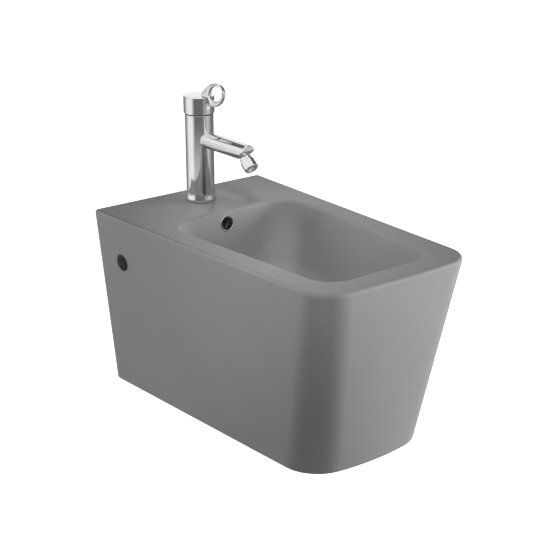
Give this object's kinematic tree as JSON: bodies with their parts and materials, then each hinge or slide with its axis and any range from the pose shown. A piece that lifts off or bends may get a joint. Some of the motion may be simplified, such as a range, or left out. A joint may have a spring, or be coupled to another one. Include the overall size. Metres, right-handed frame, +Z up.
{
  "type": "bidet",
  "caption": "Wall-hung bidet: tapering ceramic casting with rounded rectangular bowl, overflow, push-down waste plug and a single-lever mixer with ring lever and swivelling aerator",
  "frame": {"origin": "in the plane of the wall, midway between the two wall studs that carry the ceramic, at the studs' height", "axes": "+Y points into the wall, along the studs, and is the long direction of the object; +X runs across, to the right of someone facing the wall; +Z is up"},
  "size_m": [0.3482, 0.5725, 0.5248],
  "materials": {
    "ceramic": "matt",
    "chrome": "polished",
    "brass": "turned",
    "steel": "satin",
    "rubber": "matt",
    "white_plastic": "satin",
    "grey_plastic": "satin"
  },
  "bodies": {
    "base": {"ceramic_body": "ceramic", "overflow_ring": "chrome", "fixing_barrels": "grey_plastic", "clamp_screws": "steel", "waste_body": "chrome", "waste_top_seal": "rubber", "waste_bottom_seal": "rubber", "waste_nut": "chrome", "click_cartridge": "grey_plastic", "tap_body": "chrome", "base_seal": "rubber", "fixing_stud": "brass", "horseshoe_gasket": "rubber", "horseshoe_washer": "steel", "fixing_nut": "brass", "cartridge_body": "white_plastic", "cartridge_nut": "brass", "cover_ring": "chrome", "spout": "chrome", "ball_retainer": "chrome"},
    "turret": {"cartridge_turret": "white_plastic", "turret_pin": "steel"},
    "handle": {"lever_stem": "brass", "handle_cap": "chrome", "ring_lever": "chrome", "handle_set_screw": "steel", "index_plug": "white_plastic"},
    "aerator": {"swivel_ball": "chrome", "aerator_housing": "chrome", "aerator_ring": "chrome", "aerator_insert": "white_plastic", "aerator_gasket": "rubber"},
    "plug": {"plug_stem": "brass", "plug_cap": "chrome", "plug_seal": "rubber"}
  },
  "joints": [
    {"name": "lever_turn", "type": "hinge", "parent": "base", "child": "turret", "pos_m": [0, -0.066, 0.21], "axis": [0, 0, 1], "range_deg": [-45, 45]},
    {"name": "lever_lift", "type": "hinge", "parent": "turret", "child": "handle", "pos_m": [0, -0.066, 0.21], "axis": [-1, 0, 0], "range_deg": [0, 20]},
    {"name": "aerator_tilt", "type": "hinge", "parent": "base", "child": "aerator", "pos_m": [0, -0.1873, 0.1829], "axis": [1, 0, 0], "range_deg": [-3, 27]},
    {"name": "plug_press", "type": "slide", "parent": "base", "child": "plug", "axis": [0, 0, -1], "range_m": [0, 0.007]}
  ]
}
